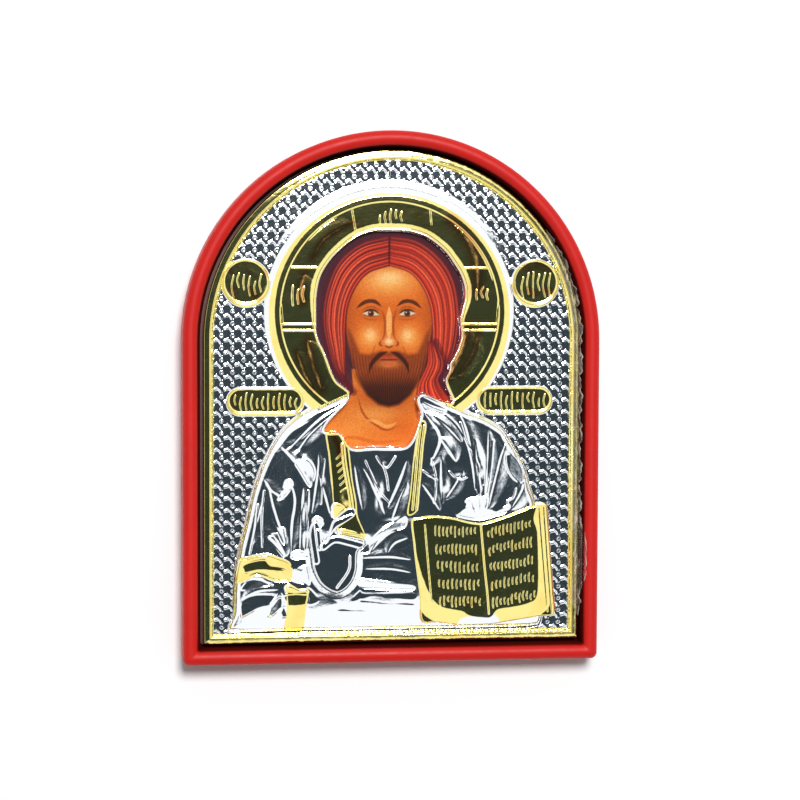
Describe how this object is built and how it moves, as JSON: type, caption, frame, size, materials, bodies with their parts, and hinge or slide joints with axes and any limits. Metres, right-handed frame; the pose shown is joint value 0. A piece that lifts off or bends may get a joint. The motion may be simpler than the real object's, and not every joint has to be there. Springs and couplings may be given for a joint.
{
  "type": "icon panel",
  "caption": "Small arched devotional panel: a beaded plastic tray holding a printed card behind an embossed foil cover with a window for the painted head.",
  "frame": {"origin": "middle of the flat back, halfway along the width and the height of the arch's bounding box", "axes": "+Z out of the picture side, +Y towards the top of the arch, +X to the viewer's right"},
  "size_m": [0.0596, 0.0754, 0.006],
  "materials": {
    "red_plastic": "glossy moulded polystyrene, red",
    "printed_card": "varnished colour print on card",
    "silver_foil": "bright embossed aluminium foil",
    "gilt_foil": "aluminium foil under a clear yellow lacquer",
    "clear_glue": "clear dried glue"
  },
  "bodies": {
    "root": {"frame": "red_plastic", "picture": "printed_card", "cover": "silver_foil"}
  },
  "joints": []
}
